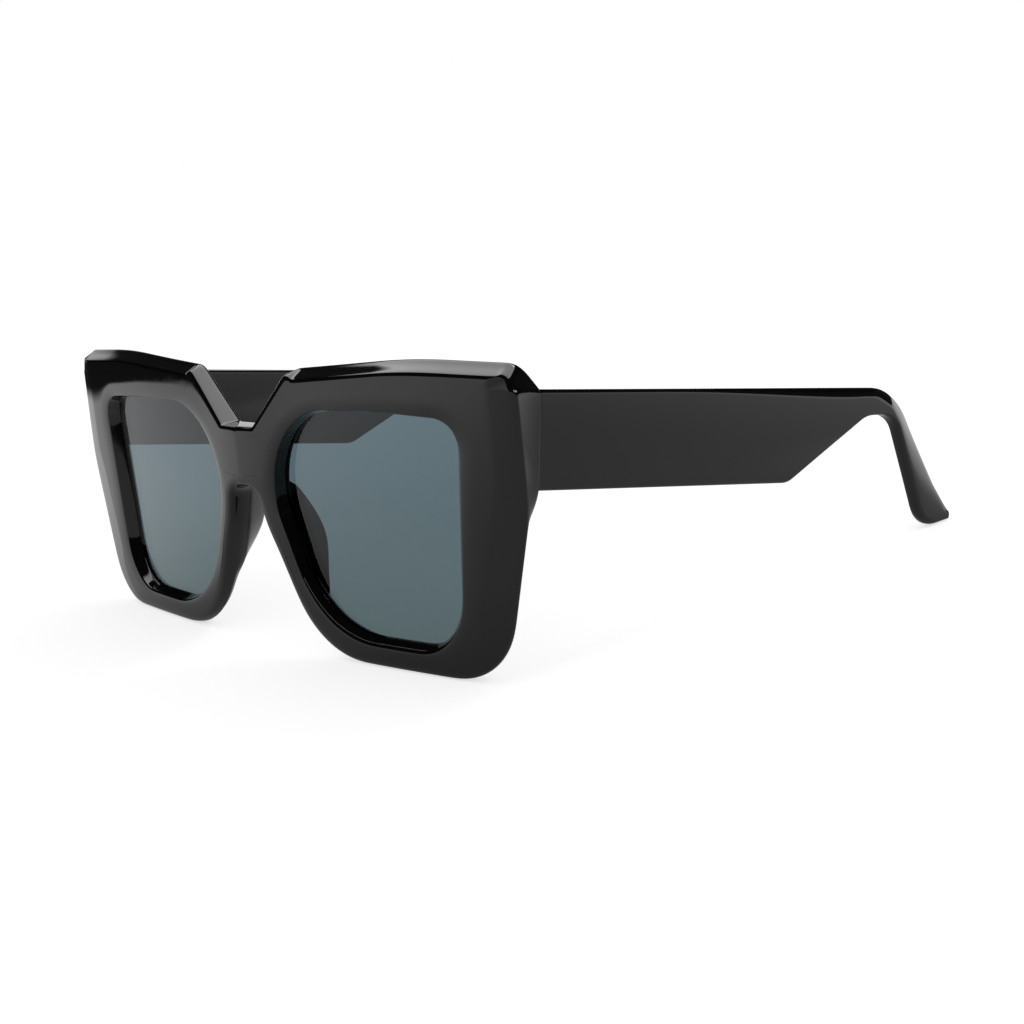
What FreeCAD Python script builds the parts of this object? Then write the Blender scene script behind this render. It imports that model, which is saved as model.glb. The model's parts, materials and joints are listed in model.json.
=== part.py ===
# Oversized sunglasses: a thick wrapped front, tinted lenses, bonded nose pads and wide folding temples.
# The pieces are drawn as worn, with level temples, and then set down on the rims and the ear tips.
# As worn: +X is the wearer's left, +Y runs back along the temples and +Z is up.
# On the front, heights are measured from a datum line across the lenses.
import FreeCAD
import Part
import math
import os

Vector = FreeCAD.Vector

# Front: a plate bent to one radius and tilted so that its foot is nearer to the cheeks
wrap_radius = 393.0
front_tilt = 9.0
rim_depth = 4.6
front_edge_round = 1.6
back_edge_round = 0.9

# Lens opening, with its nasal and outer edges given where they cross the datum line
opening_nasal_x = 11.5
opening_outer_x = 58.7
opening_nasal_slope = 0.365
opening_outer_slope = 0.137
opening_top = 25.9
opening_bottom = -20.9
opening_crown = 0.3
opening_crown_share = 0.638
opening_outer_drop = 1.3
opening_crown_radius = 90.0
opening_upper_nasal_share = 0.381
opening_upper_outer_radius = 5.2
opening_lower_outer_share = 0.277
opening_lower_nasal_share = 0.468
opening_edge_round = 0.9

# Rims around the opening
nasal_rim = 5.9
nasal_slope = 0.456
top_rim = 9.3
bottom_rim = 4.7
temple_side_rim = 15.0
lower_side_rim = 10.0
side_knee_height = 11.0
top_crown_share = 0.672
top_inner_drop = 2.2
top_outer_drop = 1.2
top_crown_radius = 120.0
top_corner_radius = 5.0
side_knee_radius = 25.0
lower_outer_extra_radius = 2.0
lower_nasal_extra_radius = 3.0
arch_radius = 3.2

# V notch over the bridge
notch_half_floor = 5.1
bridge_height = 8.7
notch_slope = 0.994
notch_floor_radius = 1.0
notch_top_radius = 3.5

# Lenses: curved sheets in a groove
lens_thickness = 2.0
lens_setback = 1.5
groove_depth = 0.9
fit_clearance = 0.05

# Nose pads: half ellipsoids bonded behind the nasal rims
pad_length = 27.0
pad_width = 5.7
pad_height = 6.6
pad_middle_height = -2.8
pad_flare = 30.0

# Temples
temple_thickness = 4.0
tip_thickness = 2.9
temple_height = 17.9
temple_top = 30.9
temple_lower_rise = 1.2
butt_plane = 10.3
shoulder_run = 4.0
shoulder_rise = 2.4
bend_length = 112.0
bend_radius = 23.0
hook_lean = 0.765
hook_drop = 22.2
hook_flare_radius = 20.0
heel_run = 9.1
heel_drop = 7.8
heel_radius = 1.6
tip_width = 14.1
toe_drop = 2.1
toe_radius = 8.0
ear_hollow_setback = 1.2
ear_hollow_radius = 5.0
neck_depth = 5.1
neck_length = 10.3
neck_rise = 1.1
neck_corner_radius = 14.0
slant_length = 26.2
slant_corner_radius = 3.0
temple_edge_round = 0.8

# Metal core inside each temple
core_radius = 0.7
core_start = 14.0
core_end_inset = 8.0
core_bend_radius = 9.0

# Five-barrel hinges
hinge_height = 9.0
barrel_radius = 1.6
barrel_gap = 0.1
leaf_thickness = 1.0
leaf_recess = 0.6
leaf_clearance = 0.15
running_clearance = 0.04
front_leaf_inner = 4.3
front_leaf_outer = 1.0
temple_leaf_start = 1.1
temple_leaf_length = 9.6
neck_half_width = 0.8
seat_margin = 1.0
pivot_radius = 0.7
pivot_head_radius = 1.15
pivot_head_height = 0.7
screw_slot_width = 0.3
screw_slot_depth = 0.25

# Small screws that hold the leaves
fixing_radius = 0.5
fixing_head_radius = 0.85
fixing_head_height = 0.45
fixing_grip = 2.4
front_fixing_inset = 1.3
front_fixing_spacing = 6.0
temple_fixing_inset = 2.0

# Places that follow from the sizes above
opening_width = opening_outer_x - opening_nasal_x
opening_mean = math.sqrt(opening_width * (opening_top - opening_bottom))
opening_lower_outer_radius = opening_mean * opening_lower_outer_share
opening_lower_nasal_radius = opening_mean * opening_lower_nasal_share
half_width = opening_outer_x + temple_side_rim
inner_face = half_width - temple_thickness
temple_bottom = temple_top - temple_height
hinge_mid_height = temple_top - temple_height / 2
leaf_standoff = barrel_radius + leaf_clearance
hinge_x = inner_face - leaf_standoff - leaf_thickness + leaf_recess
hinge_y = butt_plane
leaf_seat = hinge_y - leaf_standoff - leaf_thickness
tall = 200.0

origin = Vector(0, 0, 0)
x_axis = Vector(1, 0, 0)
y_axis = Vector(0, 1, 0)
z_axis = Vector(0, 0, 1)


def rounded_wire(corners, to_space):
    """A closed wire round corners (a, b, radius), with a tangent arc where there is a radius."""
    points = []
    for i, (a, b, radius) in enumerate(corners):
        corner = Vector(a, b, 0)
        before = Vector(*corners[i - 1][:2], 0) - corner
        after = Vector(*corners[(i + 1) % len(corners)][:2], 0) - corner
        before.normalize()
        after.normalize()
        half = before.getAngle(after) / 2
        inward = before + after
        inward.normalize()
        start = corner + before * (radius / math.tan(half))
        middle = corner + inward * (radius / math.sin(half) - radius)
        end = corner + after * (radius / math.tan(half))
        points.append([to_space(p.x, p.y) for p in (start, middle, end)])
    edges = []
    for i, (start, middle, end) in enumerate(points):
        edges.append(Part.LineSegment(points[i - 1][2], start).toShape())
        if corners[i][2]:
            edges.append(Part.Arc(start, middle, end).toShape())
    return Part.Wire(edges)


def grown_corners(corners, distance):
    """The corners of a convex outline moved outwards by a distance, with its arcs kept concentric."""
    middle = Vector(sum(c[0] for c in corners) / len(corners), sum(c[1] for c in corners) / len(corners), 0)
    lines = []
    for i, corner in enumerate(corners):
        start = Vector(*corners[i - 1][:2], 0)
        along = Vector(*corner[:2], 0) - start
        along.normalize()
        out = Vector(along.y, -along.x, 0)
        if out.dot(start - middle) < 0:
            out = out * -1
        lines.append((start + out * distance, along))
    grown = []
    for i, corner in enumerate(corners):
        point, along = lines[i]
        other, onward = lines[(i + 1) % len(lines)]
        gap = other - point
        reach = (gap.x * onward.y - gap.y * onward.x) / (along.x * onward.y - along.y * onward.x)
        meeting = point + along * reach
        grown.append((meeting.x, meeting.y, corner[2] + distance))
    return grown


def on_front(x, height):
    return Vector(x, 0, height)


def on_side(reach, height):
    return Vector(half_width, butt_plane + reach, height)


def mirrored(shape):
    return shape.mirror(origin, x_axis)


def tilted(shape):
    """A shape drawn on the upright front, tilted as worn."""
    turned = shape.copy()
    turned.rotate(origin, x_axis, front_tilt)
    return turned


def span_box(low, high):
    size = [b - a for a, b in zip(low, high)]
    return Part.makeBox(*size, Vector(*low))


def upright_cylinder(radius, x, y, low, high):
    return Part.makeCylinder(radius, high - low, Vector(x, y, low))


def wrap_cylinder(depth):
    """Everything behind the front's face by a depth, out to the axis that the front is bent round."""
    return upright_cylinder(wrap_radius - depth, 0, wrap_radius, -tall / 2, tall / 2)


def through_prism(corners):
    """An outline on the front, run right through the plate from before to behind."""
    face = Part.Face(rounded_wire(corners, on_front))
    face.translate(y_axis * (-rim_depth * 4))
    return face.extrude(y_axis * (rim_depth * 12))


def opening_corners():
    outer_top = opening_top - opening_outer_drop
    upper_nasal_radius = opening_mean * opening_upper_nasal_share
    crown_x = opening_nasal_x + opening_width * opening_crown_share
    return [
        (opening_nasal_x - opening_nasal_slope * opening_top, opening_top, upper_nasal_radius),
        (crown_x, opening_top + opening_crown, opening_crown_radius),
        (opening_outer_x + opening_outer_slope * outer_top, outer_top, opening_upper_outer_radius),
        (opening_outer_x + opening_outer_slope * opening_bottom, opening_bottom, opening_lower_outer_radius),
        (opening_nasal_x - opening_nasal_slope * opening_bottom, opening_bottom, opening_lower_nasal_radius),
    ]


def outline_corners():
    """The front's outline: the left half from the notch round to the arch, then the right half."""
    top = opening_top + top_rim
    bottom = opening_bottom - bottom_rim
    nasal_x = opening_nasal_x - nasal_rim
    arch_apex = nasal_x / nasal_slope
    notch_floor = arch_apex + bridge_height
    notch_top = top - top_inner_drop
    lower_outer_radius = opening_lower_outer_radius + lower_outer_extra_radius
    lower_nasal_radius = opening_lower_nasal_radius + lower_nasal_extra_radius
    half = [
        (notch_half_floor, notch_floor, notch_floor_radius),
        (notch_half_floor + (notch_top - notch_floor) / notch_slope, notch_top, notch_top_radius),
        (half_width * top_crown_share, top, top_crown_radius),
        (half_width, top - top_outer_drop, top_corner_radius),
        (half_width, side_knee_height, side_knee_radius),
        (opening_corners()[3][0] + lower_side_rim, bottom, lower_outer_radius),
        (nasal_x - nasal_slope * bottom, bottom, lower_nasal_radius),
    ]
    other_half = [(-x, height, radius) for x, height, radius in reversed(half)]
    return half + [(0, arch_apex, arch_radius)] + other_half


def edges_at_depth(shape, depth, near=None):
    """The edges of a front shape on the bent surface at a depth, and on the wire near if one is given."""
    found = []
    for edge in shape.Edges:
        middle = edge.valueAt((edge.FirstParameter + edge.LastParameter) / 2)
        points = [middle] + [v.Point for v in edge.Vertexes]
        radii = [math.hypot(p.x, p.y - wrap_radius) for p in points]
        if max(abs(r - (wrap_radius - depth)) for r in radii) > 0.001:
            continue
        if near and near.distToShape(Part.Vertex(middle.x, 0, middle.z))[0] > 0.01:
            continue
        found.append(edge)
    return found


def lens_sheet(growth):
    """The left lens with all its faces moved out by a growth, which also gives the groove that holds it."""
    prism = through_prism(grown_corners(opening_corners(), groove_depth + growth))
    front = lens_setback - growth
    back = lens_setback + lens_thickness + growth
    return prism.common(wrap_cylinder(front)).cut(wrap_cylinder(back))


def end_piece():
    """The left end piece: the block that meets the temple, its sloped shoulder, and the hinge leaf's seat."""
    shoulder_top = temple_top + shoulder_rise
    side_points = [
        Vector(inner_face, -tall, temple_bottom),
        Vector(inner_face, butt_plane, temple_bottom),
        Vector(inner_face, butt_plane, temple_top),
        Vector(inner_face, butt_plane - shoulder_run, shoulder_top),
        Vector(inner_face, -tall, shoulder_top),
    ]
    side = Part.Face(Part.makePolygon(side_points + side_points[:1]))
    butt_block = side.extrude(x_axis * temple_thickness)
    seat_half_height = hinge_height / 2 + seat_margin
    seat_low = (hinge_x - front_leaf_inner - seat_margin, -tall, hinge_mid_height - seat_half_height)
    seat_high = (half_width, leaf_seat, hinge_mid_height + seat_half_height)
    behind_face = tilted(through_prism(outline_corners()).common(wrap_cylinder(rim_depth / 2)))
    return butt_block.fuse(span_box(seat_low, seat_high)).common(behind_face)


def hinge_room():
    """The space behind the seat that the front leaf and the barrels need."""
    half_height = hinge_height / 2 + fit_clearance
    low = (hinge_x - front_leaf_inner - fit_clearance, leaf_seat, hinge_mid_height - half_height)
    return span_box(low, (inner_face, butt_plane + barrel_radius, hinge_mid_height + half_height))


def front_frame():
    """The whole front: its left half is made in full, and the right half is its mirror image."""
    plate = through_prism(outline_corners()).common(wrap_cylinder(0)).cut(wrap_cylinder(rim_depth))
    plate = plate.makeFillet(front_edge_round, edges_at_depth(plate, 0))
    plate = plate.makeFillet(back_edge_round, edges_at_depth(plate, rim_depth))
    half = plate.common(span_box((0, -tall, -tall), (tall, tall, tall)))
    half = half.cut(through_prism(opening_corners()))
    opening_edge = rounded_wire(opening_corners(), on_front)
    half = half.makeFillet(opening_edge_round, edges_at_depth(half, 0, opening_edge))
    half = tilted(half).fuse(end_piece())
    for room in (tilted(lens_sheet(fit_clearance)), hinge_room(), front_fixings(fit_clearance)):
        half = half.cut(room)
    return half.fuse(mirrored(half)).removeSplitter()


def nose_pad():
    """The left pad: a slim ellipsoid along the nasal rim, flared outwards and trimmed to the rim's back."""
    ball = Part.makeSphere(1.0)
    stretch = FreeCAD.Matrix()
    stretch.scale(pad_width / 2, pad_height, pad_length / 2)
    pad = ball.transformGeometry(stretch)
    lean = math.degrees(math.atan((nasal_slope + opening_nasal_slope) / 2))
    pad.rotate(origin, z_axis, -pad_flare)
    pad.rotate(origin, y_axis, -lean)
    nasal_edge = opening_nasal_x - nasal_rim - nasal_slope * pad_middle_height
    lens_edge = opening_nasal_x - opening_nasal_slope * pad_middle_height
    middle_x = (nasal_edge + lens_edge) / 2
    back_y = wrap_radius - math.sqrt((wrap_radius - rim_depth) ** 2 - middle_x ** 2)
    pad.translate(Vector(middle_x, back_y, pad_middle_height))
    return tilted(pad.common(wrap_cylinder(rim_depth)))


def temple_corners():
    """The temple's side outline, top corner first, with reach measured back from the butt plane."""
    hook_reach = bend_length + hook_lean * hook_drop
    heel_reach = hook_reach + heel_run
    heel_height = temple_top - hook_drop - heel_drop
    hollow_reach = bend_length - ear_hollow_setback
    neck_reach = hollow_reach - neck_length
    return [
        (0, temple_top, 0),
        (bend_length, temple_top, bend_radius),
        (hook_reach, temple_top - hook_drop, hook_flare_radius),
        (heel_reach, heel_height, heel_radius),
        (heel_reach - tip_width, heel_height - toe_drop, toe_radius),
        (hollow_reach, temple_top - neck_depth, ear_hollow_radius),
        (neck_reach, temple_top - neck_depth - neck_rise, neck_corner_radius),
        (neck_reach - slant_length, temple_bottom - temple_lower_rise, slant_corner_radius),
        (0, temple_bottom, 0),
    ]


def core_wire(growth):
    """The metal core along the middle of the temple, bent with it into the ear tip."""
    middle_x = half_width - tip_thickness / 2
    corners = temple_corners()
    neck_middle = (temple_top + corners[5][1]) / 2
    start = Vector(middle_x, butt_plane + core_start, hinge_mid_height)
    bend = Vector(middle_x, butt_plane + (corners[1][0] + corners[5][0]) / 2, neck_middle)
    tip_reach_middle = (corners[3][0] + corners[4][0]) / 2
    tip_height_middle = (corners[3][1] + corners[4][1]) / 2
    foot = Vector(middle_x, butt_plane + tip_reach_middle, tip_height_middle)
    down = foot - bend
    end = bend + down * (1 - core_end_inset / down.Length)
    back = start - bend
    back.normalize()
    down.normalize()
    half = back.getAngle(down) / 2
    inward = back + down
    inward.normalize()
    first = bend + back * (core_bend_radius / math.tan(half))
    last = bend + down * (core_bend_radius / math.tan(half))
    middle = bend + inward * (core_bend_radius / math.sin(half) - core_bend_radius)
    path = Part.Wire([
        Part.LineSegment(start, first).toShape(),
        Part.Arc(first, middle, last).toShape(),
        Part.LineSegment(last, end).toShape(),
    ])
    ring = Part.Wire(Part.makeCircle(core_radius + growth, start, first - start))
    return path.makePipeShell([ring], True, False)


def temple_leaf_box(growth):
    """The plate of the temple hinge leaf, with its edges but not its faces moved out by a growth."""
    half_height = hinge_height / 2 + growth
    plate_x = hinge_x + leaf_standoff
    low = (plate_x, hinge_y + temple_leaf_start - growth, hinge_mid_height - half_height)
    high = (plate_x + leaf_thickness, hinge_y + temple_leaf_start + temple_leaf_length + growth,
            hinge_mid_height + half_height)
    return span_box(low, high)


def temple():
    face = Part.Face(rounded_wire(temple_corners(), on_side))
    arm = face.extrude(x_axis * -temple_thickness)
    taper_start = butt_plane + core_start
    taper_end = butt_plane + temple_corners()[3][0]
    slip = (temple_thickness - tip_thickness) * (tall - taper_start) / (taper_end - taper_start)
    wedge_points = [
        Vector(inner_face, taper_start, -tall),
        Vector(inner_face + slip, tall, -tall),
        Vector(inner_face - temple_thickness, tall, -tall),
        Vector(inner_face - temple_thickness, taper_start, -tall),
    ]
    wedge = Part.Face(Part.makePolygon(wedge_points + wedge_points[:1])).extrude(z_axis * (2 * tall))
    arm = arm.cut(wedge)
    along = []
    for edge in arm.Edges:
        ends = [v.Point for v in edge.Vertexes]
        across = max(p.x for p in ends) - min(p.x for p in ends)
        at_butt = all(abs(p.y - butt_plane) < 0.001 for p in ends)
        upright = abs(ends[0].y - ends[-1].y) < 0.001 and abs(ends[0].y - taper_start) < 0.001
        if across < temple_thickness / 2 and not at_butt and not upright:
            along.append(edge)
    arm = arm.makeFillet(temple_edge_round, along)
    arm = arm.cut(core_wire(fit_clearance)).cut(temple_leaf_box(fit_clearance))
    return arm.cut(temple_fixings(fit_clearance))


def barrel_spans():
    """The low and high end of each of the five barrels, from the bottom up."""
    barrel = (hinge_height - 4 * barrel_gap) / 5
    low = hinge_mid_height - hinge_height / 2
    return [(low + i * (barrel + barrel_gap), low + i * (barrel + barrel_gap) + barrel) for i in range(5)]


def front_hinge():
    """Three barrels on a plate that lies on the end piece's seat."""
    low = hinge_mid_height - hinge_height / 2
    plate_low = (hinge_x - front_leaf_inner, leaf_seat, low)
    plate_high = (hinge_x + front_leaf_outer, leaf_seat + leaf_thickness, low + hinge_height)
    leaf = span_box(plate_low, plate_high)
    for bottom, top in barrel_spans()[0::2]:
        leaf = leaf.fuse(upright_cylinder(barrel_radius, hinge_x, hinge_y, bottom, top))
        web_low = (hinge_x - neck_half_width, leaf_seat + leaf_thickness / 2, bottom)
        leaf = leaf.fuse(span_box(web_low, (hinge_x + neck_half_width, hinge_y, top)))
    return leaf.cut(pivot_screw(running_clearance)).cut(front_fixings(fit_clearance)).removeSplitter()


def temple_hinge():
    """Two barrels on a plate let into the temple's inner face."""
    leaf = temple_leaf_box(0)
    plate_x = hinge_x + leaf_standoff
    for bottom, top in barrel_spans()[1::2]:
        leaf = leaf.fuse(upright_cylinder(barrel_radius, hinge_x, hinge_y, bottom, top))
        web_high = (inner_face - leaf_recess / 2, hinge_y + temple_leaf_start + neck_half_width, top)
        leaf = leaf.fuse(span_box((hinge_x, hinge_y, bottom), web_high))
    return leaf.cut(pivot_screw(running_clearance)).cut(temple_fixings(fit_clearance)).removeSplitter()


def pivot_screw(growth):
    """The hinge's pivot: a shank through the five barrels and a slotted head sunk in the top one."""
    low, top = barrel_spans()[0][0], barrel_spans()[-1][1]
    shank = upright_cylinder(pivot_radius + growth, hinge_x, hinge_y, low - growth, top)
    head_low = top - pivot_head_height - growth
    head = upright_cylinder(pivot_head_radius + growth, hinge_x, hinge_y, head_low, top + growth)
    screw = shank.fuse(head)
    if growth == 0:
        slot_low = (hinge_x - barrel_radius, hinge_y - screw_slot_width / 2, top - screw_slot_depth)
        slot_high = (hinge_x + barrel_radius, hinge_y + screw_slot_width / 2, top + screw_slot_depth)
        screw = screw.cut(span_box(slot_low, slot_high))
    return screw


def fixing_screw(growth, face, inwards):
    """A small slotted screw with its head on a leaf's face, driven along inwards."""
    reach = leaf_thickness + fixing_grip
    shank = Part.makeCylinder(fixing_radius + growth, reach + growth, face, inwards)
    head_height = fixing_head_height + growth
    head = Part.makeCylinder(fixing_head_radius, head_height, face - inwards * head_height, inwards)
    if growth:
        return shank
    across = inwards.cross(z_axis) * screw_slot_width
    corner = face - inwards * head_height - across * 0.5 - z_axis * (fixing_head_radius * 2)
    corners = [corner, corner + across, corner + across + z_axis * (fixing_head_radius * 4)]
    corners.append(corner + z_axis * (fixing_head_radius * 4))
    slot = Part.Face(Part.makePolygon(corners + corners[:1])).extrude(inwards * screw_slot_depth)
    return shank.fuse(head).cut(slot)


def front_fixings(growth):
    """The pair of screws through the front leaf into the end piece, one above the other."""
    x = hinge_x - front_leaf_inner + front_fixing_inset
    screws = []
    for side in (-1, 1):
        height = hinge_mid_height + side * front_fixing_spacing / 2
        screws.append(fixing_screw(growth, Vector(x, leaf_seat + leaf_thickness, height), y_axis * -1))
    return Part.makeCompound(screws)


def temple_fixings(growth):
    """The pair of screws through the temple leaf into the temple, one behind the other."""
    first = hinge_y + temple_leaf_start + temple_fixing_inset + barrel_radius
    last = hinge_y + temple_leaf_start + temple_leaf_length - temple_fixing_inset
    plate_x = hinge_x + leaf_standoff
    screws = [fixing_screw(growth, Vector(plate_x, y, hinge_mid_height), x_axis) for y in (first, last)]
    return Part.makeCompound(screws)


def set_down(pieces):
    """Turns and moves all the pieces so that the rims and the ear tips stand on the ground."""
    def drop(angle):
        lows = []
        for name in ("front_frame", "left_temple"):
            shape = pieces[name].copy()
            shape.rotate(origin, x_axis, -angle)
            lows.append(shape.optimalBoundingBox(False, False).ZMin)
        return lows[1] - lows[0]
    low_angle, high_angle = 0.0, front_tilt * 2
    low_drop, high_drop = drop(low_angle), drop(high_angle)
    for step in range(6):
        angle = low_angle + (high_angle - low_angle) * low_drop / (low_drop - high_drop)
        low_angle, low_drop = high_angle, high_drop
        high_angle, high_drop = angle, drop(angle)
        if abs(high_drop) < 0.0005:
            break
    placed = {}
    for name, shape in pieces.items():
        placed[name] = shape.copy()
        placed[name].rotate(origin, x_axis, -high_angle)
    box = Part.makeCompound(list(placed.values())).optimalBoundingBox(False, False)
    shift = Vector(0, -(box.YMin + box.YMax) / 2, -box.ZMin)
    for shape in placed.values():
        shape.translate(shift)
    pivot = FreeCAD.Rotation(x_axis, -high_angle).multVec(Vector(hinge_x, hinge_y, hinge_mid_height)) + shift
    axis = FreeCAD.Rotation(x_axis, -high_angle).multVec(z_axis)
    print("set down by", round(high_angle, 4), "degrees, shift", shift)
    print("left hinge point", pivot, "axis", axis)
    return placed


pieces = {"front_frame": front_frame()}
left_pieces = {
    "lens": tilted(lens_sheet(0)),
    "nose_pad": nose_pad(),
    "temple": temple(),
    "temple_core": core_wire(0),
    "front_hinge": front_hinge(),
    "temple_hinge": temple_hinge(),
    "hinge_screw": pivot_screw(0),
    "front_hinge_screws": front_fixings(0),
    "temple_hinge_screws": temple_fixings(0),
}
for name, shape in left_pieces.items():
    pieces["left_" + name] = shape
    pieces["right_" + name] = mirrored(shape)

os.makedirs("parts", exist_ok=True)
for name, shape in set_down(pieces).items():
    shape.exportStep("parts/" + name + ".step")
    print(name, "solids", len(shape.Solids), "volume", round(shape.Volume, 2), "valid", shape.isValid())
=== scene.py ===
import bpy
import bmesh
import json
import math
from mathutils import Matrix, Vector


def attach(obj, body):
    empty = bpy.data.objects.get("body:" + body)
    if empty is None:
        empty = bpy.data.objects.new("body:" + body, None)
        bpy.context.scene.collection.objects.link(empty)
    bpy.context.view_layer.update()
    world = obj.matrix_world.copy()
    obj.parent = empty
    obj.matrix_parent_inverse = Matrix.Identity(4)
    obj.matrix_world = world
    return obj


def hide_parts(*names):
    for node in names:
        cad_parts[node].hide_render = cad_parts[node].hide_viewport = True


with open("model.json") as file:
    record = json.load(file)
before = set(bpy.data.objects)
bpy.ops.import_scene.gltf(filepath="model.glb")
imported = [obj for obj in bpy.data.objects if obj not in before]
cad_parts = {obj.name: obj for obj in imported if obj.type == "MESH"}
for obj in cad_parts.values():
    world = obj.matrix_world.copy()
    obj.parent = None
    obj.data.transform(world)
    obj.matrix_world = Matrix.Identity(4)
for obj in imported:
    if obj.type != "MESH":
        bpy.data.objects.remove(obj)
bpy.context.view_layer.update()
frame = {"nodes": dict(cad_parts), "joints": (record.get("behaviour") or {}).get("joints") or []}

mm = 0.001
joinWithin = 1e-6   # metres

# The sizes below are in millimetres as worn: temples level, front leaning forward at the top.
# The left hinge in the record says how the glasses are turned and moved to stand on the ground.
wornPose = {
    "hingeX": 67.55, "hingeY": 10.3, "hingeZ": 21.95,   # left hinge as worn
    "wrapRadius": 393.0,   # bend of the front, seen from above
    "frontTilt": 9.0,      # degrees
}
leftFold = next(j for j in frame["joints"] if j["name"] == "left_temple_fold")
restAngle = math.atan2(leftFold["axis"][1], leftFold["axis"][2])
standTurn = Matrix.Rotation(-restAngle, 3, "X")
hingeWorn = Vector((wornPose["hingeX"], wornPose["hingeY"], wornPose["hingeZ"]))
standShift = Vector(leftFold["pos_m"]) - standTurn @ (hingeWorn * mm)


def stand(x, y, z):   # worn millimetres to the scene's metres
    return standTurn @ (Vector((x, y, z)) * mm) + standShift


def onFront(u, v, depth):   # along the bent front, up it, and behind its face
    radius, tilt = wornPose["wrapRadius"], math.radians(wornPose["frontTilt"])
    x = (radius - depth) * math.sin(u / radius)
    back = radius - (radius - depth) * math.cos(u / radius)
    return stand(x, back * math.cos(tilt) - v * math.sin(tilt), v * math.cos(tilt) + back * math.sin(tilt))


def depthAtWornY(u, v, y):   # how far behind the front's face a worn Y lies
    radius, tilt = wornPose["wrapRadius"], math.radians(wornPose["frontTilt"])
    back = (y + v * math.sin(tilt)) / math.cos(tilt)
    return radius - (radius - back) / math.cos(u / radius)


def mixed(a, b, t):
    return a + (b - a) * t


def eased(low, high, value):
    t = min(1.0, max(0.0, (value - low) / (high - low)))
    return t * t * (3 - 2 * t)


def roundedPath(corners, closed, runStep, turnStep):
    # points (place, inward normal, run, blend to the next run) along straight runs and tangent arcs
    path = []
    count = len(corners)

    def at(i):
        return Vector(corners[i % count][:2])

    def addPoint(place, along, run, blend):
        path.append((place, Vector((along.y, -along.x)), run, blend))

    lastEnd = None if closed else at(0)
    cornerRange = range(count) if closed else range(1, count - 1)
    turns = []
    for i in cornerRange:
        before, after = (at(i - 1) - at(i)).normalized(), (at(i + 1) - at(i)).normalized()
        half = before.angle(after) / 2
        radius = corners[i][2]
        start, end = at(i) + before * radius / math.tan(half), at(i) + after * radius / math.tan(half)
        middle = at(i) + (before + after).normalized() * radius / math.sin(half)
        turns.append((start, end, middle, radius, math.pi - 2 * half))
    if closed:
        lastEnd = turns[-1][1]
    for k, (start, end, middle, radius, sweep) in enumerate(turns):
        along = (start - lastEnd).normalized()
        steps = max(1, round((start - lastEnd).length / runStep))
        for s in range(steps):
            addPoint(lastEnd.lerp(start, s / steps), along, k, 0.0)
        bends = max(2, math.ceil(math.degrees(sweep) / turnStep))
        first, last = start - middle, end - middle
        clockwise = first.x * last.y - first.y * last.x < 0
        for s in range(bends):
            angle = sweep * s / bends * (-1 if clockwise else 1)
            arm = Matrix.Rotation(angle, 2) @ first
            addPoint(middle + arm, Matrix.Rotation(angle, 2) @ along, k, s / bends)
        lastEnd = end
    if not closed:
        along = (at(count - 1) - lastEnd).normalized()
        steps = max(1, round((at(count - 1) - lastEnd).length / runStep))
        for s in range(steps + 1):
            addPoint(lastEnd.lerp(at(count - 1), s / steps), along, len(turns), 0.0)
    return path


def deselect():
    if bpy.context.object and bpy.context.object.mode != "OBJECT":
        bpy.ops.object.mode_set(mode="OBJECT")
    bpy.ops.object.select_all(action="DESELECT")


def startRing(name, places):
    deselect()
    bpy.ops.mesh.primitive_circle_add(vertices=len(places), fill_type="NOTHING")
    piece = bpy.context.object
    piece.name = piece.data.name = name
    order = piece.data.attributes.new("ringOrder", "INT", "POINT")
    for i, place in enumerate(places):
        piece.data.vertices[i].co = place
        order.data[i].value = i
    bpy.ops.object.mode_set(mode="EDIT")
    bpy.ops.mesh.select_mode(type="EDGE")
    bpy.ops.mesh.select_all(action="SELECT")
    return piece


def growRing(piece, places):   # pull the selected rim out into a new one, and set its points
    bpy.ops.mesh.extrude_edges_move()
    shape = bmesh.from_edit_mesh(piece.data)
    order = shape.verts.layers.int["ringOrder"]
    for vert in shape.verts:
        if vert.select:
            vert.co = places[vert[order]]
    bmesh.update_edit_mesh(piece.data)


def closeRings(piece):
    bpy.ops.mesh.select_mode(type="VERT")
    bpy.ops.mesh.select_all(action="SELECT")
    bpy.ops.mesh.remove_doubles(threshold=joinWithin)
    bpy.ops.mesh.normals_make_consistent(inside=False)
    bpy.ops.object.mode_set(mode="OBJECT")
    piece.data.attributes.remove(piece.data.attributes["ringOrder"])


def finishPiece(piece, smoothing, angle=None):
    deselect()
    piece.select_set(True)
    bpy.context.view_layer.objects.active = piece
    if smoothing:
        subdivide = piece.modifiers.new("smooth", "SUBSURF")
        subdivide.levels = subdivide.render_levels = smoothing
        bpy.ops.object.modifier_apply(modifier=subdivide.name)
    if angle is None:
        bpy.ops.object.shade_smooth()
    else:
        bpy.ops.object.shade_smooth_by_angle(angle=math.radians(angle))


def mirrorCopy(piece, name):
    deselect()
    piece.select_set(True)
    bpy.context.view_layer.objects.active = piece
    bpy.ops.object.duplicate()
    twin = bpy.context.object
    twin.name = twin.data.name = name
    bpy.ops.object.mode_set(mode="EDIT")
    bpy.ops.mesh.select_all(action="SELECT")
    bpy.ops.transform.resize(value=(-1, 1, 1), center_override=(0, 0, 0))
    bpy.ops.mesh.normals_make_consistent(inside=False)
    bpy.ops.object.mode_set(mode="OBJECT")
    return twin


def newMaterial(name):
    material = bpy.data.materials.new(name)
    material.use_nodes = True
    nodes, links = material.node_tree.nodes, material.node_tree.links
    return material, nodes, links, nodes["Principled BSDF"]


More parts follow.
